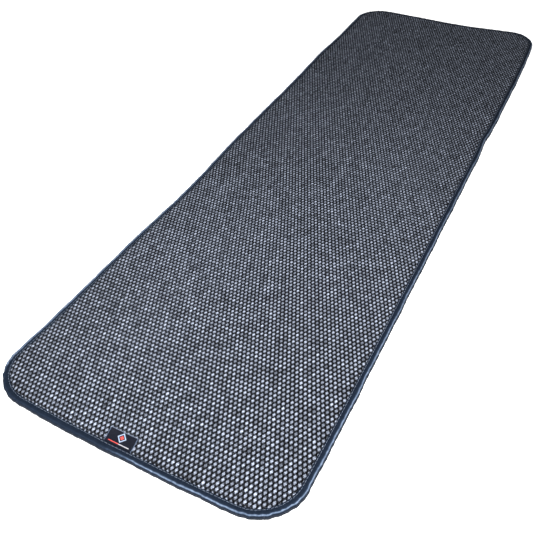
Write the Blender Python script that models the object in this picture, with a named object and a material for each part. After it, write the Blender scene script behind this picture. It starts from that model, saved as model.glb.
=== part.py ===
"""Ventilated mat of 3D spacer mesh, bound all round with folded tape, with a small woven label.

Metres, +Z up. X runs across the mat and Y along it. The origin is under the middle of the mat, on
the surface that it lies on, and the label is near the middle of the -Y edge.

The mesh is three knitted layers: two faces and the standing yarns between them. They are pressed
thinner under the binding, so that the open area of each face stands a little proud of the tape.
"""

import math

import bmesh
import bpy
from mathutils import Vector

# The mat
MAT_WIDTH = 0.500
MAT_LENGTH = 1.550
MESH_THICKNESS = 0.012
CORNER_RADIUS = 0.072
CORNER_STEPS = 12
CLEARANCE = 0.0003

# The spacer mesh
FACE_THICKNESS = 0.0014
PRESSED_IN = 0.0019
SLOPE_WIDTH = 0.004
MESH_EDGE_INSET = 0.0026

# The binding tape, a U in section
TAPE_THICKNESS = 0.0008
TAPE_COVER = 0.011
TAPE_SINK = 0.0008
FOLD_RADIUS = 0.003
FOLD_STEPS = 3

# The lockstitch seam along the tape's inner edge
THREAD_RADIUS = 0.00025
THREAD_FLOAT = 0.0002
SEAM_FROM_TAPE_EDGE = 0.0018

# The woven label, a folded strip
LABEL_WIDTH = 0.045
LABEL_SHOWS = 0.021
LABEL_CENTRE_X = -0.009
LABEL_THICKNESS = 0.0008
LABEL_TAIL_THICKNESS = 0.0007
LABEL_TAIL_REACH = 0.0075
LABEL_ABOVE_MESH = 0.0003
LABEL_POCKET_MARGIN = 0.0005
ROUND_STEPS = 6

# Heights that follow from them
TAPE_TOP = MESH_THICKNESS - TAPE_SINK
TAPE_BOTTOM = TAPE_SINK
PRESSED_TOP = MESH_THICKNESS - PRESSED_IN
PRESSED_BOTTOM = PRESSED_IN
LABEL_CENTRE_HEIGHT = MESH_THICKNESS + LABEL_ABOVE_MESH + LABEL_THICKNESS / 2
TAIL_TOP = TAPE_TOP - TAPE_THICKNESS - CLEARANCE
TAIL_BOTTOM = TAIL_TOP - LABEL_TAIL_THICKNESS

# Places along the -Y edge
TAPE_INNER_EDGE_Y = -MAT_LENGTH / 2 + TAPE_COVER
LABEL_HINGE_Y = TAPE_INNER_EDGE_Y + CLEARANCE + LABEL_THICKNESS / 2


def clear_scene():
    """Removes every object that the file starts with."""
    for thing in list(bpy.data.objects):
        bpy.data.objects.remove(thing, do_unlink=True)


def new_collection(name):
    """Makes a collection in the scene."""
    collection = bpy.data.collections.new(name)
    bpy.context.scene.collection.children.link(collection)
    return collection


def fabric(name, colour, roughness):
    """Makes a cloth or thread material: a Principled BSDF with no metal."""
    material = bpy.data.materials.new(name)
    material.use_nodes = True
    shader = material.node_tree.nodes["Principled BSDF"]
    shader.inputs["Base Color"].default_value = (*colour, 1.0)
    shader.inputs["Roughness"].default_value = roughness
    shader.inputs["Metallic"].default_value = 0.0
    return material


def put(collection, name, data, material):
    """Makes an object of a mesh or a curve, with its material, in a collection."""
    thing = bpy.data.objects.new(name, data)
    data.materials.append(material)
    collection.objects.link(thing)
    return thing


def mat_outline(inset):
    """The mat's rounded rectangle moved in by inset, anticlockwise seen from above."""
    half_width = MAT_WIDTH / 2 - inset
    half_length = MAT_LENGTH / 2 - inset
    radius = CORNER_RADIUS - inset
    points = []
    for corner, (side_x, side_y) in enumerate(((1, 1), (-1, 1), (-1, -1), (1, -1))):
        centre = Vector((side_x * (half_width - radius), side_y * (half_length - radius)))
        for step in range(CORNER_STEPS + 1):
            angle = math.radians(90 * (corner + step / CORNER_STEPS))
            points.append(centre + radius * Vector((math.cos(angle), math.sin(angle))))
    return points


def arc(centre, radius, first, last, steps):
    """Points on a circle from one angle to another, in degrees, with both ends."""
    points = []
    for step in range(steps + 1):
        angle = math.radians(first + (last - first) * step / steps)
        points.append((centre[0] + radius * math.cos(angle), centre[1] + radius * math.sin(angle)))
    return points


def loft_round_the_mat(name, profile, closed_profile):
    """A mesh lofted through one outline ring for each (inset, height) of a profile.

    A closed profile makes a ring-shaped body. An open one is capped at its first and last rings.
    """
    shape = bmesh.new()
    rings = []
    for inset, height in profile:
        rings.append([shape.verts.new((p.x, p.y, height)) for p in mat_outline(inset)])
    pairs = list(zip(rings, rings[1:]))
    if closed_profile:
        pairs.append((rings[-1], rings[0]))
    else:
        shape.faces.new(rings[0])
        shape.faces.new(rings[-1])
    for lower, upper in pairs:
        for index in range(len(lower)):
            after = (index + 1) % len(lower)
            shape.faces.new((lower[index], lower[after], upper[after], upper[index]))
    bmesh.ops.recalc_face_normals(shape, faces=shape.faces)
    mesh = bpy.data.meshes.new(name)
    shape.to_mesh(mesh)
    shape.free()
    return mesh


def mesh_layer(collection, name, material, middle, pressed):
    """One layer of the spacer mesh: its (bottom, top) in the middle, and where it is pressed."""
    slope_foot = TAPE_COVER
    slope_head = TAPE_COVER + SLOPE_WIDTH
    profile = [
        (slope_head, middle[0]),
        (slope_foot, pressed[0]),
        (MESH_EDGE_INSET, pressed[0]),
        (MESH_EDGE_INSET, pressed[1]),
        (slope_foot, pressed[1]),
        (slope_head, middle[1]),
    ]
    return put(collection, name, loft_round_the_mat(name, profile, False), material)


def top_mesh_face(collection, material):
    """The knitted face that things lie on."""
    middle = (MESH_THICKNESS - FACE_THICKNESS, MESH_THICKNESS)
    pressed = (PRESSED_TOP - FACE_THICKNESS, PRESSED_TOP)
    return mesh_layer(collection, "top_mesh_face", material, middle, pressed)


def bottom_mesh_face(collection, material):
    """The knitted face that the mat lies on."""
    middle = (0.0, FACE_THICKNESS)
    pressed = (PRESSED_BOTTOM, PRESSED_BOTTOM + FACE_THICKNESS)
    return mesh_layer(collection, "bottom_mesh_face", material, middle, pressed)


def spacer_pile(collection, material):
    """The layer of standing yarns that keeps the two faces apart, as one body."""
    step = FACE_THICKNESS + CLEARANCE
    middle = (step, MESH_THICKNESS - step)
    pressed = (PRESSED_BOTTOM + step, PRESSED_TOP - step)
    return mesh_layer(collection, "spacer_pile", material, middle, pressed)


def edge_binding(collection, material):
    """The folded tape round the edge, open towards the mesh."""
    inner_radius = FOLD_RADIUS - TAPE_THICKNESS
    upper_centre = (FOLD_RADIUS, TAPE_TOP - FOLD_RADIUS)
    lower_centre = (FOLD_RADIUS, TAPE_BOTTOM + FOLD_RADIUS)
    outside = [(TAPE_COVER, TAPE_TOP)]
    outside += arc(upper_centre, FOLD_RADIUS, 90, 180, FOLD_STEPS)
    outside += arc(lower_centre, FOLD_RADIUS, 180, 270, FOLD_STEPS)
    outside += [(TAPE_COVER, TAPE_BOTTOM)]
    inside = [(TAPE_COVER, TAPE_BOTTOM + TAPE_THICKNESS)]
    inside += arc(lower_centre, inner_radius, 270, 180, FOLD_STEPS)
    inside += arc(upper_centre, inner_radius, 180, 90, FOLD_STEPS)
    inside += [(TAPE_COVER, TAPE_TOP - TAPE_THICKNESS)]
    mesh = loft_round_the_mat("edge_binding", outside + inside, True)
    mesh.shade_smooth()
    mesh.set_sharp_from_angle(angle=math.radians(40))
    return put(collection, "edge_binding", mesh, material)


def seam_thread(collection, name, height, material):
    """One thread of the seam, a closed loop of round yarn that lies along the tape."""
    curve = bpy.data.curves.new(name, "CURVE")
    curve.dimensions = "3D"
    curve.bevel_depth = THREAD_RADIUS
    curve.bevel_resolution = 1
    points = mat_outline(TAPE_COVER - SEAM_FROM_TAPE_EDGE)
    spline = curve.splines.new("POLY")
    spline.points.add(len(points) - 1)
    for point, place in zip(spline.points, points):
        point.co = (place.x, place.y, 0.0, 1.0)
    spline.use_cyclic_u = True
    thread = put(collection, name, curve, material)
    thread.location.z = height
    return thread


def side_outline_solid(collection, name, points, width, origin, material):
    """A filled outline, given as (y, z) from its origin, extruded to a width along X."""
    curve = bpy.data.curves.new(name, "CURVE")
    curve.dimensions = "2D"
    curve.fill_mode = "BOTH"
    curve.extrude = width / 2
    spline = curve.splines.new("POLY")
    spline.points.add(len(points) - 1)
    for point, (along, up) in zip(spline.points, points):
        point.co = (along, up, 0.0, 1.0)
    spline.use_cyclic_u = True
    solid = put(collection, name, curve, material)
    solid.rotation_euler = (math.radians(90), 0.0, math.radians(90))
    solid.location = origin
    return solid


def label_tail(collection, material):
    """The label's end under the binding, turned up just inside the tape's edge."""
    front = CLEARANCE + LABEL_THICKNESS
    back = front - LABEL_THICKNESS
    riser_top = MESH_THICKNESS - CLEARANCE
    points = [
        (-LABEL_TAIL_REACH, TAIL_BOTTOM),
        (front, TAIL_BOTTOM),
        (front, riser_top),
        (back, riser_top),
        (back, TAIL_TOP),
        (-LABEL_TAIL_REACH, TAIL_TOP),
    ]
    origin = (LABEL_CENTRE_X, TAPE_INNER_EDGE_Y, 0.0)
    return side_outline_solid(collection, "label_tail", points, LABEL_WIDTH, origin, material)


def label_flap(collection, material):
    """The label's free end, lying on the mesh. Its origin is on the line that it turns about."""
    radius = LABEL_THICKNESS / 2
    free_end = LABEL_SHOWS - CLEARANCE - LABEL_THICKNESS
    points = arc((0.0, 0.0), radius, 90, 270, ROUND_STEPS)
    points += arc((free_end, 0.0), radius, -90, 90, ROUND_STEPS)
    origin = (LABEL_CENTRE_X, LABEL_HINGE_Y, LABEL_CENTRE_HEIGHT)
    return side_outline_solid(collection, "label_flap", points, LABEL_WIDTH, origin, material)


def press_label_into(face, cutters):
    """Cuts the shallow pocket that the label's tail presses into a mesh face."""
    start = TAPE_INNER_EDGE_Y - LABEL_TAIL_REACH - LABEL_POCKET_MARGIN
    end = TAPE_INNER_EDGE_Y + CLEARANCE + LABEL_THICKNESS + LABEL_POCKET_MARGIN
    floor = TAIL_BOTTOM - CLEARANCE
    height = MESH_THICKNESS
    bpy.ops.mesh.primitive_cube_add(size=1.0)
    cutter = bpy.context.active_object
    cutter.name = "label_pocket_cutter"
    cutter.location = (LABEL_CENTRE_X, (start + end) / 2, floor + height / 2)
    cutter.scale = (LABEL_WIDTH + 2 * LABEL_POCKET_MARGIN, end - start, height)
    cutter.hide_render = True
    cutter.display_type = "WIRE"
    for collection in list(cutter.users_collection):
        collection.objects.unlink(cutter)
    cutters.objects.link(cutter)
    cut = face.modifiers.new("label_pocket", "BOOLEAN")
    cut.operation = "DIFFERENCE"
    cut.object = cutter


def main():
    clear_scene()
    mat = new_collection("spacer_mesh_mat")
    cutters = new_collection("cutters")

    knit = fabric("mesh_knit", (0.13, 0.14, 0.17), 0.55)
    yarn = fabric("pile_yarn", (0.03, 0.032, 0.045), 0.45)
    satin = fabric("binding_satin", (0.012, 0.016, 0.032), 0.4)
    thread = fabric("sewing_thread", (0.02, 0.025, 0.045), 0.5)
    woven = fabric("label_weave", (0.008, 0.011, 0.028), 0.6)

    bottom_mesh_face(mat, knit)
    spacer_pile(mat, yarn)
    top_face = top_mesh_face(mat, knit)
    edge_binding(mat, satin)
    thread_offset = THREAD_RADIUS + THREAD_FLOAT
    seam_thread(mat, "needle_thread", TAPE_TOP + thread_offset, thread)
    seam_thread(mat, "bobbin_thread", TAPE_BOTTOM - thread_offset, thread)
    label_tail(mat, woven)
    label_flap(mat, woven)
    press_label_into(top_face, cutters)


main()
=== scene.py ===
"""Looks for the ventilated spacer-mesh mat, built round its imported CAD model.

Every length is in metres. The mat's width runs along X, its length along Y, and its labelled short edge is
at -Y. Each piece is first made on the flat mat, and lie() then lets it rest as a real one does.
"""

import math

import bpy
import numpy as np
from mathutils import Euler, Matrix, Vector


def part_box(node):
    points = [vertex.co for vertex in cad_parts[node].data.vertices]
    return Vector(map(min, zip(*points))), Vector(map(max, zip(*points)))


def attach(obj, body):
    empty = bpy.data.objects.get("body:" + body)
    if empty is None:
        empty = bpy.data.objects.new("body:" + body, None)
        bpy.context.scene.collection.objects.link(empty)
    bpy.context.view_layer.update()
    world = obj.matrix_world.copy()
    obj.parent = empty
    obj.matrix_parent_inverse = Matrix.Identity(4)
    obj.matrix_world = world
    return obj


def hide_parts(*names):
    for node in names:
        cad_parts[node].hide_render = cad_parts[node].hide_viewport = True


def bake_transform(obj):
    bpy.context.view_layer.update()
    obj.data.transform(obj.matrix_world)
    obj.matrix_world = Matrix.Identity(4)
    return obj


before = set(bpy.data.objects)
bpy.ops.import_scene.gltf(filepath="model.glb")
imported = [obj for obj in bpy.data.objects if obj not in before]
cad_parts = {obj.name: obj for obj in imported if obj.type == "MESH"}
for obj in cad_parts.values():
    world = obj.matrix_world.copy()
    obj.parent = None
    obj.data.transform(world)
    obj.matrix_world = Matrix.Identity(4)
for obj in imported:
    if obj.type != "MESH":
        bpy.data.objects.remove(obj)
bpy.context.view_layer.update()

MM = 0.001
SEED = 20

# Sizes read off the CAD parts.
BINDING_LOW, BINDING_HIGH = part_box("edge_binding")
HALF_WIDTH = BINDING_HIGH.x
HALF_LENGTH = BINDING_HIGH.y
TAPE_BOTTOM = BINDING_LOW.z
TAPE_TOP = BINDING_HIGH.z
MESH_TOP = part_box("top_mesh_face")[1].z
MESH_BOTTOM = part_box("bottom_mesh_face")[0].z
LABEL_LOW, LABEL_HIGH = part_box("label_flap")
LABEL_WIDTH = LABEL_HIGH.x - LABEL_LOW.x
LABEL_SHOWS = LABEL_HIGH.y - LABEL_LOW.y
TAIL_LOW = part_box("label_tail")[0]

# The rounded outline and what the binding covers, as the CAD source has them.
CORNER_RADIUS = 72 * MM
TAPE_COVER = 11 * MM
TAPE_THICKNESS = 0.8 * MM
FOLD_RADIUS = 3 * MM
SEAM_INSET = 9.2 * MM
SLOPE_END = 15.5 * MM
PRESSED_IN = 1.9 * MM

# The knitted net: cells stand in staggered rows across the mat.
CELL_PITCH = 6.85 * MM
ROW_PITCH = 7.35 * MM
NET_INSET = 6 * MM
STITCH_PITCH = 6 * MM
SECTIONS_PER_STITCH = 4

# What is woven into the label: a diamond round a core, by the distance from its centre counted across plus
# along, and a bar by the distance from the seam. The cut edges and the fold show as paler lines.
DIAMOND_AT = 0.6
DIAMOND_RING = (5.2 * MM, 7.2 * MM)
DIAMOND_CORE = 3.2 * MM
BAR = (2.4 * MM, 3.6 * MM)
BAR_MARGIN = 0.12
CUT_EDGE = 0.7 * MM
FOLD_BEFORE, FOLD_BEHIND = 0.4 * MM, 0.5 * MM
CORAL = (0.55, 0.07, 0.06)

# How the resting mat departs from a flat one: centre x and y, reach x and y, then the move along X, Y and Z.
REST_MOVES = (
    (-0.25, -0.775, 0.12, 0.13, 0.0, 0.003, 0.0068),
    (-0.25, -0.22, 0.16, 0.13, 0.006, 0.0, 0.0),
    (-0.25, 0.43, 0.14, 0.09, -0.001, 0.0, 0.0035),
    (-0.22, 0.775, 0.16, 0.12, -0.001, 0.002, 0.0022),
    (0.25, 0.775, 0.12, 0.14, -0.007, 0.003, 0.003),
    (0.02, 0.775, 0.08, 0.10, 0.0, -0.004, 0.0),
    (0.25, -0.775, 0.08, 0.08, -0.002, 0.002, 0.0005),
    (0.25, 0.2, 0.06, 0.03, -0.003, 0.0, 0.0),
    (0.03, -0.775, 0.18, 0.05, 0.0, -0.001, 0.0),
)
# The upper face swells a little: radians per metre along X and Y, phase and share of each wave.
SWELL_HEIGHT = 0.25 * MM
SWELLS = ((9, 5, 1, 1.0), (-6, 14, 0, 1.0), (23, 17, 2, 0.6))


def smooth(low, high, value):
    """0 below low, 1 above high, and a soft S between."""
    share = np.clip((value - low) / (high - low), 0, 1)
    return share * share * (3 - 2 * share)


def lie(points):
    """Flat points moved to where they are on the mat as it lies."""
    x, y, z = points.T
    moved = points.copy()
    for at_x, at_y, reach_x, reach_y, *move in REST_MOVES:
        weight = np.exp(-(((x - at_x) / reach_x) ** 2) - ((y - at_y) / reach_y) ** 2)
        moved += weight[:, None] * np.array(move)
    swell = sum(share * np.sin(over_x * x + over_y * y + phase) for over_x, over_y, phase, share in SWELLS)
    moved[:, 2] += SWELL_HEIGHT * (1 + 0.4 * swell) * np.clip(z / MESH_TOP, 0, 1)
    return moved


# ---- the outline -------------------------------------------------------------------------------------------
CENTRE_X = HALF_WIDTH - CORNER_RADIUS
CENTRE_Y = HALF_LENGTH - CORNER_RADIUS
QUARTER = CORNER_RADIUS * math.pi / 2
LEGS = (CENTRE_X, QUARTER, 2 * CENTRE_Y, QUARTER, 2 * CENTRE_X, QUARTER, 2 * CENTRE_Y, QUARTER, CENTRE_X)
KNOTS = np.concatenate([[0], np.cumsum(LEGS)])
KNOT_X = CENTRE_X * np.array([0, 1, 1, 1, 1, -1, -1, -1, -1, 0])
KNOT_Y = CENTRE_Y * np.array([-1, -1, -1, 1, 1, 1, 1, -1, -1, -1])
KNOT_DEGREES = np.array([-90, -90, 0, 0, 90, 90, 180, 180, 270, 270])
PERIMETER = KNOTS[-1]
STITCH_COUNT = round(PERIMETER / STITCH_PITCH)
STITCH_LENGTH = PERIMETER / STITCH_COUNT
TURN_BLEND = 20 * MM


def along_edge(distance, inset, z):
    """Points at these distances round the outline, from the middle of the near edge and on by the right."""
    distance = distance % PERIMETER
    angle = np.radians(np.interp(distance, KNOTS, KNOT_DEGREES))
    radius = CORNER_RADIUS - inset
    x = np.interp(distance, KNOTS, KNOT_X) + radius * np.cos(angle)
    y = np.interp(distance, KNOTS, KNOT_Y) + radius * np.sin(angle)
    return np.stack([x, y, np.broadcast_to(z, x.shape)], axis=-1)


def in_corner(distance):
    """1 where the outline turns, 0 on its straights, and soft between."""
    near = np.zeros_like(distance)
    for start, end in zip(KNOTS[1:-1:2], KNOTS[2::2]):
        begun = smooth(start - TURN_BLEND, start + TURN_BLEND, distance)
        over = smooth(end - TURN_BLEND, end + TURN_BLEND, distance)
        near += begun * (1 - over)
    return near


def edge_inset(x, y):
    """How far inside the outline points are."""
    over_x = np.abs(x) - CENTRE_X
    over_y = np.abs(y) - CENTRE_Y
    outside = np.hypot(np.maximum(over_x, 0), np.maximum(over_y, 0))
    return CORNER_RADIUS - outside - np.minimum(np.maximum(over_x, over_y), 0)


def ripple(distance, lengths, seed):
    """A wave of about -1 to 1 along the closed edge, made of these wavelengths."""
    draw = np.random.default_rng(seed)
    total = np.zeros_like(distance)
    for length in lengths:
        turns = round(PERIMETER / length)
        total += np.sin(2 * math.pi * turns * distance / PERIMETER + draw.uniform(0, 2 * math.pi))
    return total / math.sqrt(len(lengths))


# ---- making objects ----------------------------------------------------------------------------------------
def add_mesh(name, points, quads, material, values=None, uv=None):
    """A smooth-shaded object from points and quads, with values stored per point and uv per face corner."""
    mesh = bpy.data.meshes.new(name)
    mesh.vertices.add(len(points))
    mesh.vertices.foreach_set("co", np.asarray(points, np.float32).ravel())
    mesh.loops.add(quads.size)
    mesh.loops.foreach_set("vertex_index", np.asarray(quads, np.int32).ravel())
    mesh.polygons.add(len(quads))
    mesh.polygons.foreach_set("loop_start", np.arange(0, quads.size, 4, dtype=np.int32))
    mesh.update(calc_edges=True)
    mesh.validate()
    mesh.shade_smooth()
    for key, numbers in (values or {}).items():
        layer = mesh.attributes.new(key, "FLOAT", "POINT")
        layer.data.foreach_set("value", np.asarray(numbers, np.float32))
    if uv is not None:
        layer = mesh.uv_layers.new(name="cloth")
        layer.data.foreach_set("uv", np.asarray(uv, np.float32).ravel())
    mesh.materials.append(material)
    piece = bpy.data.objects.new(name, mesh)
    bpy.context.scene.collection.objects.link(piece)
    return piece


def grid_quads(rows, columns, closed_rows=False, closed_columns=False):
    """Quads over a grid of points numbered row by row."""
    index = np.arange(rows * columns).reshape(rows, columns)
    if closed_rows:
        index = np.vstack([index, index[:1]])
    if closed_columns:
        index = np.hstack([index, index[:, :1]])
    corners = [index[:-1, :-1], index[1:, :-1], index[1:, 1:], index[:-1, 1:]]
    return np.stack(corners, axis=-1).reshape(-1, 4)


def tubes(paths, radii, sides, across):
    """Points and quads of many tubes.

    paths is tubes x steps x 3, radii has one radius a step, and across is a direction that no path takes.
    """
    count, steps, _ = paths.shape
    tangent = np.gradient(paths, axis=1)
    side = np.cross(tangent, across)
    side /= np.linalg.norm(side, axis=-1, keepdims=True)
    other = np.cross(side, tangent)
    other /= np.linalg.norm(other, axis=-1, keepdims=True)
    turn = np.arange(sides) * 2 * math.pi / sides
    ring = side[:, :, None] * np.cos(turn)[:, None] + other[:, :, None] * np.sin(turn)[:, None]
    points = paths[:, :, None] + ring * np.asarray(radii)[None, :, None, None]
    one = grid_quads(steps, sides, closed_columns=True)
    quads = one[None] + (np.arange(count) * steps * sides)[:, None, None]
    return points.reshape(-1, 3), quads.reshape(-1, 4)


# ---- materials ---------------------------------------------------------------------------------------------
def new_material(name, **settings):
    """A node material with one Principled shader, whose plain sockets are set here, and its node tree."""
    material = bpy.data.materials.new(name)
    material.use_nodes = True
    shader = material.node_tree.nodes["Principled BSDF"]
    for key, value in settings.items():
        shader.inputs[key.replace("_", " ")].default_value = value
    return material, material.node_tree, shader


def node(tree, kind, inputs=None, **settings):
    """Adds a node, sets its options, and fills its sockets with numbers, colours or links."""
    made = tree.nodes.new("ShaderNode" + kind)
    for key, value in settings.items():
        setattr(made, key, value)
    for key, value in (inputs or {}).items():
        if isinstance(value, bpy.types.NodeSocket):
            tree.links.new(value, made.inputs[key])
        else:
            made.inputs[key].default_value = value
    return made


def ramp(tree, factor, *stops):
    """A colour ramp from (position, colour) stops."""
    made = node(tree, "ValToRGB", {0: factor})
    elements = made.color_ramp.elements
    while len(elements) < len(stops):
        elements.new(0.5)
    for element, (position, colour) in zip(elements, stops):
        element.position = position
        element.color = (*colour, 1)
    return made.outputs[0]


def maths(tree, operation, first, second=0.0):
    """One Math node."""
    return node(tree, "Math", {0: first, 1: second}, operation=operation).outputs[0]


def mean(tree, first, second):
    """Halfway between two values."""
    return maths(tree, "ADD", maths(tree, "MULTIPLY", first, 0.5), maths(tree, "MULTIPLY", second, 0.5))


def object_coordinates(tree, scale=(1, 1, 1), turn=0):
    """The mat's own coordinates, stretched and turned about Z."""
    source = node(tree, "TexCoord").outputs["Object"]
    return node(tree, "Mapping", {"Vector": source, "Scale": scale, "Rotation": (0, 0, turn)}).outputs[0]


def bump(tree, shader, height, strength, distance, base=None):
    """Feeds a bump into the shader, over an earlier one if there is one."""
    made = node(tree, "Bump", {"Height": height, "Strength": strength, "Distance": distance})
    if base is not None:
        tree.links.new(base, made.inputs["Normal"])
    tree.links.new(made.outputs[0], shader.inputs["Normal"])
    return made.outputs[0]


def tinted(tree, colour, factor, low, high):
    """A colour made darker or lighter by a factor from 0 to 1."""
    light = node(tree, "MapRange", {"Value": factor, "To Min": low, "To Max": high}, clamp=True).outputs[0]
    return node(tree, "VectorMath", {0: colour, "Scale": light}, operation="SCALE").outputs[0]


def knit_material():
    """Bright polyester knit, pale slate on the raised cells, with painted shade making it near navy black
    down between them.
    """
    material, tree, shader = new_material("mesh_knit", Specular_IOR_Level=0.3)
    raised = node(tree, "Attribute", attribute_name="raised").outputs["Fac"]
    tone = node(tree, "Attribute", attribute_name="tone").outputs["Fac"]
    # Colour by height: the low stops are painted shade in the openings and hollows, and the top stop is the
    # yarn's own pale slate.
    colour = ramp(
        tree, raised,
        (0.30, (0.0015, 0.002, 0.004)), (0.60, (0.004, 0.005, 0.009)),
        (0.79, (0.14, 0.16, 0.205)), (0.95, (0.50, 0.555, 0.69)),
    )
    gloss = node(
        tree, "MapRange",
        {"Value": raised, "From Min": 0.7, "From Max": 0.93, "To Min": 0.9, "To Max": 0.4},
    ).outputs[0]
    tree.links.new(gloss, shader.inputs["Roughness"])
    toned = tinted(tree, colour, tone, 0.4, 1.6)
    cloud = node(
        tree, "TexNoise", {"Vector": object_coordinates(tree), "Scale": 14.0, "Detail": 3.0}
    ).outputs[0]
    clouded = tinted(tree, toned, cloud, 0.92, 1.08)
    wales = node(
        tree, "TexWave",
        {"Vector": object_coordinates(tree), "Scale": 520.0, "Distortion": 1.5, "Detail": 1.0},
    ).outputs[1]
    loops = node(
        tree, "TexWave",
        {"Vector": object_coordinates(tree, turn=math.radians(62)), "Scale": 190.0, "Distortion": 2.0},
    ).outputs[1]
    tree.links.new(tinted(tree, clouded, loops, 0.55, 1.3), shader.inputs["Base Color"])
    stitches = maths(tree, "ADD", wales, loops)
    bump(tree, shader, stitches, 0.65, 0.25 * MM)
    return material


def pile_material():
    """Stiff dark monofilament."""
    material, tree, shader = new_material("pile_yarn", Roughness=0.45, Specular_IOR_Level=0.2)
    shade = node(
        tree, "TexNoise", {"Vector": object_coordinates(tree), "Scale": 260.0, "Detail": 1.0}
    ).outputs[0]
    colour = ramp(tree, shade, (0.3, (0.003, 0.004, 0.007)), (0.7, (0.012, 0.013, 0.020)))
    tree.links.new(colour, shader.inputs["Base Color"])
    return material


def satin_material():
    """Dark navy satin tape: fine ribs and folds across it, streaks along it, and a paler painted highlight
    along its fold.
    """
    material, tree, shader = new_material(
        "binding_satin", Specular_IOR_Level=0.2, Specular_Tint=(0.45, 0.7, 1.0, 1), Anisotropic=0.3
    )
    place = node(tree, "UVMap", uv_map="cloth").outputs[0]
    stretched = node(tree, "Mapping", {"Vector": place, "Scale": (40, 900, 1)}).outputs[0]
    long_streaks = node(tree, "TexNoise", {"Vector": stretched, "Scale": 1.0, "Detail": 4.0}).outputs[0]
    gathered = node(tree, "Mapping", {"Vector": place, "Scale": (230, 70, 1)}).outputs[0]
    folds = node(tree, "TexNoise", {"Vector": gathered, "Scale": 1.0, "Detail": 2.0}).outputs[0]
    streaks = mean(tree, long_streaks, folds)
    painted_highlight = node(tree, "Attribute", attribute_name="painted_highlight").outputs["Fac"]
    # The top stops are the painted highlight along the fold.
    colour = ramp(
        tree, mean(tree, streaks, painted_highlight),
        (0.20, (0.004, 0.006, 0.012)), (0.46, (0.010, 0.015, 0.028)),
        (0.62, (0.045, 0.065, 0.105)), (0.80, (0.19, 0.24, 0.33)),
    )
    tree.links.new(colour, shader.inputs["Base Color"])
    gloss = node(tree, "MapRange", {"Value": painted_highlight, "To Min": 0.85, "To Max": 0.36}).outputs[0]
    tree.links.new(gloss, shader.inputs["Roughness"])
    ribs = node(tree, "TexWave", {"Vector": place, "Scale": 700.0, "Distortion": 0.6}).outputs[1]
    first = bump(tree, shader, ribs, 0.5, 0.08 * MM)
    bump(tree, shader, streaks, 0.7, 0.5 * MM, first)
    return material


def thread_material():
    """Twisted polyester thread."""
    material, tree, shader = new_material("sewing_thread", Roughness=0.45, Sheen_Weight=0.3)
    place = node(tree, "UVMap", uv_map="cloth").outputs[0]
    turned = node(tree, "Mapping", {"Vector": place, "Rotation": (0, 0, math.radians(35))}).outputs[0]
    plies = node(tree, "TexWave", {"Vector": turned, "Scale": 260.0}).outputs[1]
    colour = ramp(tree, plies, (0.1, (0.04, 0.055, 0.09)), (0.9, (0.22, 0.27, 0.36)))
    tree.links.new(colour, shader.inputs["Base Color"])
    bump(tree, shader, plies, 0.6, 0.08 * MM)
    return material


def label_material():
    """Navy damask with a woven diamond, a two-colour bar and pale cut edges.

    U runs across the label, and V from the seam to the fold at its free end and back below.
    """
    material, tree, shader = new_material("label_weave", Roughness=0.55, Specular_IOR_Level=0.12)
    place = node(tree, "UVMap", uv_map="cloth").outputs[0]
    split = node(tree, "SeparateXYZ", {0: place})
    u, v = split.outputs[0], split.outputs[1]
    from_middle = maths(tree, "ABSOLUTE", maths(tree, "SUBTRACT", u, LABEL_WIDTH / 2))
    from_centre = maths(tree, "ABSOLUTE", maths(tree, "SUBTRACT", v, DIAMOND_AT * LABEL_SHOWS))
    diamond = maths(tree, "ADD", from_middle, from_centre)

    def band(value, low, high):
        """1 between low and high, else 0."""
        above = maths(tree, "GREATER_THAN", value, low)
        return maths(tree, "MULTIPLY", above, maths(tree, "LESS_THAN", value, high))

    ring = band(diamond, *DIAMOND_RING)
    core = band(diamond, -1.0, DIAMOND_CORE)
    bar = band(v, *BAR)
    left_end, right_end = BAR_MARGIN * LABEL_WIDTH, (1 - BAR_MARGIN) * LABEL_WIDTH
    bar_coral = maths(tree, "MULTIPLY", bar, band(u, left_end, LABEL_WIDTH / 2))
    bar_pale = maths(tree, "MULTIPLY", bar, band(u, LABEL_WIDTH / 2, right_end))
    edge = maths(tree, "GREATER_THAN", from_middle, LABEL_WIDTH / 2 - CUT_EDGE)
    fold = band(v, LABEL_SHOWS - FOLD_BEFORE, LABEL_SHOWS + FOLD_BEHIND)
    weft = node(tree, "TexWave", {"Vector": place, "Scale": 900.0}, bands_direction="Y").outputs[1]
    warp = node(tree, "TexWave", {"Vector": place, "Scale": 1100.0}).outputs[1]
    weave = maths(tree, "MULTIPLY", weft, warp)
    colour = ramp(tree, weave, (0.0, (0.002, 0.003, 0.007)), (1.0, (0.006, 0.009, 0.020)))
    for share, paint in (
        (ring, (0.30, 0.38, 0.52)), (core, CORAL), (bar_pale, (0.42, 0.42, 0.46)),
        (bar_coral, CORAL), (edge, (0.10, 0.13, 0.20)), (fold, (0.16, 0.19, 0.26)),
    ):
        mixed = node(tree, "Mix", {"Factor": share, 6: colour, 7: (*paint, 1)}, data_type="RGBA")
        colour = mixed.outputs[2]
    tree.links.new(colour, shader.inputs["Base Color"])
    bump(tree, shader, weave, 0.4, 0.08 * MM)
    return material


# ---- the knitted faces -------------------------------------------------------------------------------------
# One opening of the net is ringed by eight places on the knit: cells at its sides and ends, struts between.
# Each ring inward gives, for side cells, end cells and struts, its share of the way to the opening's middle
# and its drop below the cells' tops.
RINGS = (
    ((0.45, 0.08 * MM), (0.27, 0.08 * MM), (0.13, 1.05 * MM)),
    ((0.67, 0.55 * MM), (0.39, 0.55 * MM), (0.24, 1.45 * MM)),
    ((0.77, 1.70 * MM), (0.46, 1.75 * MM), (0.30, 2.30 * MM)),
)
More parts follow.
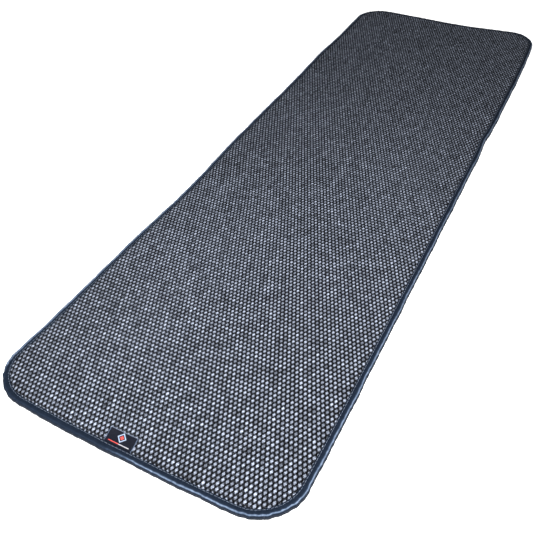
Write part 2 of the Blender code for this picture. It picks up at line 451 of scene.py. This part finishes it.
# A last ring that would reach past the middle. WIDEST_SHARE stops it there, so it draws the opening shut.
# Being deepest, the shut middle takes the knit's darkest colour, painted shade.
CLOSED_RING = ((1.2, 2.20 * MM), (1.2, 2.20 * MM), (1.2, 2.30 * MM))
WIDEST_SHARE = 0.995
DEEPEST = 2.30 * MM
SIDE, END, STRUT = 0, 1, 2
AROUND = ((1, 0), (1, 1), (0, 1), (-1, 1), (-1, 0), (-1, -1), (0, -1), (1, -1))
KIND = np.array([SIDE, STRUT, END, STRUT, SIDE, STRUT, END, STRUT])

# How far struts lie below cells, how much painted shade darkens them, and how much cells and openings vary.
STRUT_DROP = 0.95 * MM
STRUT_SHADE = -0.08
PLACE_SPREAD = 0.10 * MM
DROP_MEAN, DROP_SPREAD = 0.1 * MM, 0.07 * MM
TONE_MEAN, TONE_SPREAD = 0.5, 0.06
DIMPLES = (0.05 * MM, 0.30 * MM)
OPENING_SPREAD = 0.045

# What the lower face keeps of the net's relief, and the share of it that the binding flattens.
LOWER_RELIEF = 0.6
FLATTENED = 0.5


def cells_and_struts(draw, k, j, x, y):
    """Each place of the net, and each strut between two cells, as x, y, drop and tone."""
    jitter = draw.normal(0, PLACE_SPREAD, (2, *x.shape))
    drop = draw.normal(DROP_MEAN, DROP_SPREAD, x.shape)
    tone = draw.normal(TONE_MEAN, TONE_SPREAD, x.shape)
    cells = np.stack([x + jitter[0], y + jitter[1], drop, tone], axis=-1)
    # A strut's middle lies between the two cells on its own diagonal.
    rising = (cells[:-1, :-1] + cells[1:, 1:]) / 2
    falling = (cells[1:, :-1] + cells[:-1, 1:]) / 2
    is_rising = ((k + j)[:-1, :-1] % 2 == 0)[..., None]
    # Struts sit lower and get painted shade in their tone.
    struts = np.where(is_rising, rising, falling) + (0, 0, STRUT_DROP, STRUT_SHADE)
    return cells, struts


def find_openings(k, j, x, y):
    """The openings' places in the net's columns and rows, and their middles."""
    is_hole = ((k + j) % 2 == 1) & (edge_inset(x, y) > NET_INSET)
    is_hole[[0, -1]] = False
    is_hole[:, [0, -1]] = False
    hole_k, hole_j = np.nonzero(is_hole)
    return hole_k, hole_j, np.stack([x[is_hole], y[is_hole]], axis=-1)


def points_around(hole_k, hole_j, cells, struts):
    """The numbers of the eight points round each opening. Struts are numbered after all the cells."""
    around = []
    for (step_k, step_j), kind in zip(AROUND, KIND):
        if kind == STRUT:
            in_row = (hole_k + (step_k - 1) // 2) * struts.shape[1] + hole_j + (step_j - 1) // 2
            around.append(cells.shape[0] * cells.shape[1] + in_row)
        else:
            around.append((hole_k + step_k) * cells.shape[1] + hole_j + step_j)
    return np.stack(around, axis=1)


def net(seed, rings, relief):
    """The net as points with x, y and drop, quads facing up, and each point's raised and tone values."""
    draw = np.random.default_rng(seed)
    columns = 4 * round(HALF_WIDTH / CELL_PITCH) + 2
    rows = 2 * round(HALF_LENGTH / ROW_PITCH) + 2
    k, j = np.meshgrid(np.arange(columns + 1), np.arange(rows + 1), indexing="ij")
    x = (k - columns / 2) * CELL_PITCH / 2
    y = (j - rows / 2) * ROW_PITCH
    cells, struts = cells_and_struts(draw, k, j, x, y)
    dimple = draw.uniform(*DIMPLES, x.shape)
    hole_k, hole_j, middle = find_openings(k, j, x, y)
    grow = draw.normal(1, OPENING_SPREAD, (len(middle), 1))
    outer = points_around(hole_k, hole_j, cells, struts)
    known = np.concatenate([cells.reshape(-1, 4), struts.reshape(-1, 4)])
    rim = known[outer]
    cell_drop = rim[..., 2] - np.where(KIND == STRUT, STRUT_DROP, 0)
    points, quads = [known], []
    start = len(known)
    for ring in rings:
        shares, drops = np.array(ring)[KIND].T
        share = np.minimum(shares * grow, WIDEST_SHARE)
        inward = rim.copy()
        inward[..., :2] += (middle[:, None] - rim[..., :2]) * share[..., None]
        inward[..., 2] = cell_drop + drops
        points.append(inward.reshape(-1, 4))
        inner = start + np.arange(outer.size).reshape(outer.shape)
        start += inner.size
        for step in range(len(AROUND)):
            after = (step + 1) % len(AROUND)
            quads.append(
                np.stack([outer[:, step], outer[:, after], inner[:, after], inner[:, step]], axis=-1)
            )
        outer = inner
    points = np.concatenate(points)
    points[: dimple.size, 2] += dimple.ravel()
    used, quads = np.unique(np.concatenate(quads), return_inverse=True)
    points = points[used]
    # How high each point stands. The knit's colour is darkened by it as painted shade in the hollows.
    raised = np.clip(1 - points[:, 2] / DEEPEST, 0, 1)
    points[:, 2] *= relief
    return points[:, :3], quads.reshape(-1, 4), {"raised": raised, "tone": points[:, 3]}


def pressed(x, y):
    """How far the binding presses each face in at these places."""
    return PRESSED_IN * (1 - smooth(TAPE_COVER, SLOPE_END, edge_inset(x, y)))


def knit_face(name, node_name, material, seed, rings, relief, up):
    """One knitted face in place of its CAD sheet: the upper face if up is 1, the lower face if it is -1."""
    points, quads, values = net(seed, rings, relief)
    x, y, drop = points.T
    relief_left = 1 - FLATTENED * pressed(x, y) / PRESSED_IN
    depth = pressed(x, y) + drop * relief_left
    z = MESH_TOP - depth if up > 0 else MESH_BOTTOM + depth
    placed = lie(np.column_stack([x, y, z]))
    if up < 0:
        quads = quads[:, ::-1]
        placed[:, 2] = np.maximum(placed[:, 2], 0)
    piece = add_mesh(name, placed, quads, material, values)
    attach(piece, "mat")
    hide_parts(node_name)
    return piece


# The three yarns of a cell: which way each leans, how far at its top, the share of that at its foot, and how
# much both stray. Then a yarn's radius and how far it ends short of the two faces and of the net's rim.
YARN_LEANS = ((-1, 0.6), (1, 0.6), (0, -1.2))
YARN_REACH = (1.5 * MM, 1.7 * MM)
FOOT_SHARE = 0.8
TOP_SPREAD, FOOT_SPREAD = 0.35 * MM, 0.5 * MM
YARN_RADIUS = 0.13 * MM
BELOW_TOP, ABOVE_BOTTOM, INSIDE_RIM = 1.6 * MM, 0.7 * MM, 2 * MM


def spacer_yarns(material):
    """The standing yarns between the faces, three to a cell, each leaning its own way."""
    draw = np.random.default_rng(SEED + 2)
    columns = 2 * round(HALF_WIDTH / CELL_PITCH)
    rows = 2 * round(HALF_LENGTH / ROW_PITCH)
    k, j = np.meshgrid(np.arange(columns + 1), np.arange(rows + 1), indexing="ij")
    x = ((k - columns / 2) + 0.5 * (j % 2)) * CELL_PITCH
    y = (j - rows / 2) * ROW_PITCH
    place = np.repeat(np.stack([x.ravel(), y.ravel()], axis=-1), len(YARN_LEANS), axis=0)
    lean = np.tile(np.array(YARN_LEANS), (x.size, 1)) * YARN_REACH
    top = place + lean + draw.normal(0, TOP_SPREAD, place.shape)
    foot = place - lean * FOOT_SHARE + draw.normal(0, FOOT_SPREAD, place.shape)
    inside = np.minimum(edge_inset(*top.T), edge_inset(*foot.T)) > NET_INSET + INSIDE_RIM
    top, foot = top[inside], foot[inside]
    high = MESH_TOP - BELOW_TOP - pressed(*top.T)
    low = MESH_BOTTOM + ABOVE_BOTTOM + pressed(*foot.T)
    paths = np.stack([np.column_stack([foot, low]), np.column_stack([top, high])], axis=1)
    points, quads = tubes(paths, (YARN_RADIUS, YARN_RADIUS), 3, (1, 0, 0))
    piece = add_mesh("spacer_yarns", lie(points), quads, material)
    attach(piece, "mat")
    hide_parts("spacer_pile")
    return piece


# ---- the binding and its seam ------------------------------------------------------------------------------
MIDDLE_Z = (TAPE_TOP + TAPE_BOTTOM) / 2
RISE = TAPE_TOP - MIDDLE_Z

# The tape's upper face from its inner edge to the fold, as inset and height over its plain top, in mm.
LIP = ((11.0, -0.62), (11.15, -0.38), (10.95, -0.14), (10.5, 0.0), (9.9, -0.05), (9.5, -0.16), (9.2, -0.24))
CROWN = ((8.9, -0.17), (8.4, -0.03), (7.6, 0.06), (6.6, 0.09), (5.6, 0.08), (4.6, 0.05), (3.8, 0.02))

# What makes the tape uneven: how far each cause moves it, and its wavelengths along the edge.
STITCH_DRAW, DRAW_REACH = 0.24 * MM, 2.2 * MM
GATHERS, CORNER_GATHERS = 0.14 * MM, 0.26 * MM
GATHER_LENGTHS = (7.1 * MM, 9.3 * MM, 12.7 * MM)
SLACK, SLACK_LENGTHS = 0.12 * MM, (24 * MM, 38 * MM, 61 * MM)
WANDER, WANDER_LENGTHS = 0.45 * MM, (60 * MM, 95 * MM, 170 * MM)
CRINKLE, CRINKLE_LENGTHS = 0.36 * MM, (13 * MM, 21 * MM)
LIP_WAVE, LIP_LENGTHS = 0.35 * MM, (11 * MM, 23 * MM, 47 * MM)
MOST_DRIFT = 0.9 * MM

# The painted highlight along the fold: its inset and half width, what both gain on the mat's left side, and
# how much fainter it is on the left part of the near edge.
HIGHLIGHT_INSET, HIGHLIGHT_WIDTH = 2.0 * MM, 1.7 * MM
LEFT_INSET, LEFT_WIDTH = 2.2 * MM, 1.3 * MM
NEAR_LEFT_FAINTER = 0.65


def tape_shape():
    """The upper half of the tape's section as inset and height above the middle, outer side then inner."""
    outer = [(inset * MM, RISE + above * MM) for inset, above in LIP + CROWN]
    for degrees in range(0, 91, 15):
        angle = math.radians(degrees)
        outer.append((FOLD_RADIUS * (1 - math.sin(angle)), RISE - FOLD_RADIUS * (1 - math.cos(angle))))
    outer.append((0.0, 0.0))
    inner = [(TAPE_THICKNESS, 0.0)]
    small = FOLD_RADIUS - TAPE_THICKNESS
    for degrees in range(90, -1, -30):
        angle = math.radians(degrees)
        inner.append((FOLD_RADIUS - small * math.sin(angle), RISE - FOLD_RADIUS + small * math.cos(angle)))
    inner += [(inset * MM, RISE - TAPE_THICKNESS) for inset in (6, 9, 10.8)]
    return np.array(outer), np.array(inner)


def pucker(distance, inset):
    """How far the tape's face stands off its plain section there: stitches draw it in, corners gather it."""
    step = 2 * math.pi * distance / STITCH_LENGTH
    near_seam = np.exp(-(((inset - SEAM_INSET) / DRAW_REACH) ** 2))
    drawn = -STITCH_DRAW * near_seam * (1 + np.cos(step)) / 2
    slant = distance + 0.6 * inset
    gathers = ripple(slant, GATHER_LENGTHS, SEED + 3)
    loose = GATHERS + CORNER_GATHERS * in_corner(distance)
    on_face = smooth(-2 * MM, 3 * MM, inset)
    slack = SLACK * ripple(distance, SLACK_LENGTHS, SEED + 4)
    return drawn + gathers * loose * on_face + slack


def edge_drift(distance):
    """The fold wanders in and out a little along the edge, and crinkles, most in the corners."""
    wander = WANDER * ripple(distance, WANDER_LENGTHS, SEED + 5)
    crinkle = CRINKLE * ripple(distance, CRINKLE_LENGTHS, SEED + 6)
    return wander + crinkle * (0.6 + 0.6 * in_corner(distance))


def painted_ridge_highlight(points, inset, height):
    """A painted highlight, from 0 to 1: a soft paler ridge on the upper fold that varies round the mat."""
    left_side = 1 - smooth(-HALF_WIDTH, -HALF_WIDTH + 16 * MM, points[:, 0])
    near_edge = 1 - smooth(-HALF_LENGTH + 15 * MM, -HALF_LENGTH + 55 * MM, points[:, 1])
    left_part = 1 - smooth(-60 * MM, 50 * MM, points[:, 0])
    from_ridge = (inset - HIGHLIGHT_INSET - LEFT_INSET * left_side) / (HIGHLIGHT_WIDTH + LEFT_WIDTH * left_side)
    strength = 1 - NEAR_LEFT_FAINTER * near_edge * left_part * (1 - left_side)
    return strength * np.exp(-(from_ridge**2)) * smooth(3 * MM, 5 * MM, height)


def binding_tape(material):
    """The folded satin tape all round the edge, a closed U in section."""
    outer, inner = tape_shape()
    mirror = np.array([1, -1])
    section = np.concatenate([outer, (outer * mirror)[-2::-1], (inner * mirror)[::-1], inner[1:]])
    is_outer = np.arange(len(section)) < 2 * len(outer) - 1
    sections = STITCH_COUNT * SECTIONS_PER_STITCH
    distance = np.arange(sections) * PERIMETER / sections
    along = np.repeat(distance, len(section))
    inset = np.tile(section[:, 0], sections)
    height = np.tile(section[:, 1], sections)
    facing = np.sign(height) * smooth(2 * MM, 4.5 * MM, np.abs(height))
    # The lower face has the same unevenness as the upper one, a third of the way on.
    under = np.where(height > 0, 0, PERIMETER / 3)
    height = height + facing * pucker((along + under) % PERIMETER, inset) * np.tile(is_outer, sections)
    drift = edge_drift(along) * (1 - smooth(2 * MM, 10 * MM, inset))
    lip = LIP_WAVE * ripple(along, LIP_LENGTHS, SEED + 7) * smooth(9.5 * MM, 11 * MM, inset)
    points = along_edge(along, inset + np.minimum(drift, MOST_DRIFT) + lip, 0)
    points[:, 2] = MIDDLE_Z + height
    quads = grid_quads(sections, len(section), closed_rows=True, closed_columns=True)
    turn = np.concatenate([[0], np.cumsum(np.linalg.norm(np.diff(section, axis=0), axis=1))])
    uv = np.stack([along, np.tile(turn, sections)], axis=-1)[quads]
    # The last quads reach the first section again, where U goes on instead of starting over.
    starts_over = uv[..., 0] < uv[:, 1:2, 0] - PERIMETER / 2
    uv[..., 0] = np.where(starts_over, uv[..., 0] + PERIMETER, uv[..., 0])
    # The painted highlight on the fold, kept with each point.
    values = {"painted_highlight": painted_ridge_highlight(points, inset, height)}
    piece = add_mesh("binding_tape", lie(points), quads, material, values, uv)
    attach(piece, "mat")
    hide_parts("edge_binding")
    return piece


# The thread, the share of its pitch that a stitch leaves free, how it arches and sinks in, and how the seam
# wanders along the edge.
THREAD_RADIUS, THREAD_SIDE = 0.27 * MM, 0.3 * MM
THREAD_STEPS, THREAD_SIDES = 7, 6
STITCH_GAP = 0.14
STITCH_ARCH, STITCH_SUNK = 0.22 * MM, 0.05 * MM
SEAM_WANDER, SEAM_LENGTHS = 0.12 * MM, (90 * MM, 140 * MM)


def stitches(name, node_name, material, side):
    """One stitch after another along the seam, on the upper face if side is 1 and on the lower if -1."""
    share = np.linspace(0, 1, THREAD_STEPS)
    start = np.arange(STITCH_COUNT)[:, None] * STITCH_LENGTH
    distance = start + STITCH_LENGTH * (STITCH_GAP / 2 + (1 - STITCH_GAP) * share)
    arch = np.sin(math.pi * share)
    under = 0 if side > 0 else PERIMETER / 3
    drawn = pucker((distance + under) % PERIMETER, np.full_like(distance, SEAM_INSET)) - STITCH_DRAW
    height = RISE + drawn + STITCH_ARCH * arch**0.5 - STITCH_SUNK
    wander = SEAM_WANDER * ripple(distance, SEAM_LENGTHS, SEED + 8)
    points = along_edge(distance, SEAM_INSET + wander, 0)
    points[..., 2] = MIDDLE_Z + side * height
    radii = THREAD_RADIUS * (0.25 + 0.75 * arch**0.4)
    shape, quads = tubes(points, radii, THREAD_SIDES, (0, 0, 1))
    u = np.tile(np.repeat(share * STITCH_LENGTH, THREAD_SIDES), STITCH_COUNT)
    v = np.tile(np.arange(THREAD_SIDES) * THREAD_SIDE, THREAD_STEPS * STITCH_COUNT)
    place = np.stack([u, v], axis=-1)
    placed = lie(shape)
    placed[:, 2] = np.maximum(placed[:, 2], 0)
    piece = add_mesh(name, placed, quads, material, uv=place[quads])
    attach(piece, "mat")
    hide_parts(node_name)
    return piece


# ---- the label ---------------------------------------------------------------------------------------------
# How the label's free end lifts, curls at its two corners, arches, draws its corners back and leans.
LABEL_LIFT = 3.2 * MM
RIGHT_CURL, LEFT_CURL, ARCH = 0.9 * MM, 0.5 * MM, 0.5 * MM
CORNERS_BACK, LEAN_LEFT = 0.5 * MM, 0.8 * MM

# How finely the label is divided.
TAIL_STEPS, FLAP_STEPS = 5, 26
COLUMNS = 41
FOLD_DEGREES = np.arange(60, -61, -30)


def label_path(half):
    """The label's middle line as y and z, from its cut ends to its fold, for cloth of twice this half."""
    middle = (LABEL_HIGH.z + LABEL_LOW.z) / 2
    tail_z = TAIL_LOW.z + half + 0.05 * MM
    hinge_y = LABEL_LOW.y
    tail_y = np.linspace(TAIL_LOW.y, hinge_y - 0.6 * MM, TAIL_STEPS)
    flap_y = np.linspace(hinge_y + 0.5 * MM, LABEL_HIGH.y - half, FLAP_STEPS)
    lift = LABEL_LIFT * smooth(0.15, 1.25, (flap_y - hinge_y) / LABEL_SHOWS)
    bend_y = [hinge_y - 0.15 * MM, hinge_y + 0.1 * MM]
    path_y = np.concatenate([tail_y, bend_y, flap_y])
    bend_z = [tail_z + 0.9 * MM, middle - 0.5 * MM]
    path_z = np.concatenate([np.full(TAIL_STEPS, tail_z), bend_z, middle + lift])
    return np.column_stack([path_y, path_z])


def label_cloth(material):
    """The folded woven label: cut ends under the binding, then out of the seam and up to a lifted fold."""
    half = (LABEL_HIGH.z - LABEL_LOW.z) / 2 - 0.05 * MM
    hinge_y = LABEL_LOW.y
    path = label_path(half)
    tangent = np.gradient(path, axis=0)
    tangent /= np.linalg.norm(tangent, axis=1, keepdims=True)
    normal = np.column_stack([-tangent[:, 1], tangent[:, 0]])
    run = np.concatenate([[0], np.cumsum(np.linalg.norm(np.diff(path, axis=0), axis=1))])
    from_seam = run - run[TAIL_STEPS + 1]
    upper = path + normal * half
    lower = (path - normal * half)[::-1]
    turn = np.radians(FOLD_DEGREES)
    fold = path[-1] + half * (np.outer(np.cos(turn), tangent[-1]) + np.outer(np.sin(turn), normal[-1]))
    loop = np.concatenate([upper, fold, lower])
    loop_v = np.concatenate([from_seam, np.full(len(fold), LABEL_SHOWS), 3 * LABEL_SHOWS - from_seam[::-1]])
    across = np.linspace(0, LABEL_WIDTH, COLUMNS)
    points = np.zeros((len(loop), COLUMNS, 3))
    points[..., 0] = LABEL_LOW.x + across
    points[..., 1] = loop[:, :1]
    points[..., 2] = loop[:, 1:]
    free = smooth(0.1, 1.0, (points[..., 1] - hinge_y) / LABEL_SHOWS)
    side = 2 * across / LABEL_WIDTH - 1
    curl = RIGHT_CURL * np.maximum(side, 0) ** 2 + LEFT_CURL * np.maximum(-side, 0) ** 3
    points[..., 2] += free * (curl - ARCH * np.cos(2.4 * side))
    points[..., 1] -= free * CORNERS_BACK * side**2
    points[..., 0] -= free * LEAN_LEFT
    quads = grid_quads(len(loop), COLUMNS)[:, ::-1]
    place = np.stack([np.tile(across, len(loop)), np.repeat(loop_v, COLUMNS)], axis=-1)
    piece = add_mesh("label_cloth", lie(points.reshape(-1, 3)), quads, material, uv=place[quads])
    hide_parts("label_tail", "label_flap")
    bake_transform(piece)
    return piece


# ---- the studio --------------------------------------------------------------------------------------------
CAMERA_PLACE = (0.4142, -1.0915, 0.7873)
CAMERA_DEGREES = (47.18, 1.613, 27.59)
FOCAL_LENGTH, SENSOR_WIDTH = 44.37, 36


def add_camera():
    """A camera close to the near right corner that looks down along the mat."""
    data = bpy.data.cameras.new("camera")
    data.sensor_width = SENSOR_WIDTH
    data.lens = FOCAL_LENGTH
    camera = bpy.data.objects.new("camera", data)
    camera.location = CAMERA_PLACE
    camera.rotation_euler = Euler([math.radians(angle) for angle in CAMERA_DEGREES])
    bpy.context.scene.collection.objects.link(camera)
    bpy.context.scene.camera = camera


FLOOR_REACH = 12.0
FLOOR_DEPTH = 0.1 * MM


def add_floor():
    """A plain pale floor just under the mat, which glows enough to stay white."""
    material, tree, shader = new_material(
        "floor", Roughness=0.9, Specular_IOR_Level=0.1, Emission_Color=(1, 1, 1, 1), Emission_Strength=0.9
    )
    grain = node(
        tree, "TexNoise", {"Vector": object_coordinates(tree), "Scale": 3.0, "Detail": 2.0}
    ).outputs[0]
    colour = ramp(tree, grain, (0.3, (0.90, 0.90, 0.90)), (0.7, (0.92, 0.92, 0.92)))
    tree.links.new(colour, shader.inputs["Base Color"])
    corners = np.array([(-1, -1), (1, -1), (1, 1), (-1, 1)]) * FLOOR_REACH
    points = np.column_stack([corners, np.full(4, -FLOOR_DEPTH)])
    floor = add_mesh("floor", points, np.array([[0, 1, 2, 3]]), material)


def add_softbox(name, place, aim, size, power):
    """A rectangular soft light at place that faces aim."""
    data = bpy.data.lights.new(name, "AREA")
    data.shape = "RECTANGLE"
    data.size, data.size_y = size
    data.energy = power
    light = bpy.data.objects.new(name, data)
    light.location = place
    toward = np.array(aim, float) - np.array(place, float)
    flat = math.hypot(toward[0], toward[1])
    light.rotation_euler = Euler((math.atan2(flat, -toward[2]), 0, math.atan2(-toward[0], toward[1])))
    light.visible_camera = False
    bpy.context.scene.collection.objects.link(light)


def add_studio():
    """A large soft light over the near end, small ones from the front left and from behind, and a pale room.

    The room is brighter to the camera than as a light, so that the horizon is as pale as the floor.
    """
    add_softbox("overhead", (0.35, -0.75, 0.90), (0.05, -0.65, 0), (0.8, 0.8), 22.5)
    add_softbox("front_left", (-0.66, -1.6, 1.0), (0, -0.6, 0), (0.25, 0.12), 15)
    add_softbox("back", (0.35, 1.8, 1.3), (0.1, -0.2, 0), (0.3, 0.2), 6)
    world = bpy.data.worlds.new("room")
    world.use_nodes = True
    tree = world.node_tree
    seen = node(tree, "LightPath").outputs["Is Camera Ray"]
    strength = maths(tree, "ADD", maths(tree, "MULTIPLY", seen, 0.95), 0.15)
    background = tree.nodes["Background"]
    background.inputs["Color"].default_value = (0.93, 0.95, 1.0, 1)
    tree.links.new(strength, background.inputs["Strength"])
    bpy.context.scene.world = world
    bpy.context.scene.view_settings.view_transform = "Standard"


add_camera()
add_floor()
add_studio()
knit = knit_material()
spacer_yarns(pile_material())
knit_face("top_knit", "top_mesh_face", knit, SEED, RINGS, 1.0, 1)
knit_face("bottom_knit", "bottom_mesh_face", knit, SEED + 1, (*RINGS[1:], CLOSED_RING), LOWER_RELIEF, -1)
tape = binding_tape(satin_material())
thread = thread_material()
stitches("needle_stitches", "needle_thread", thread, 1)
stitches("bobbin_stitches", "bobbin_thread", thread, -1)
label_cloth(label_material())

bpy.context.view_layer.update()
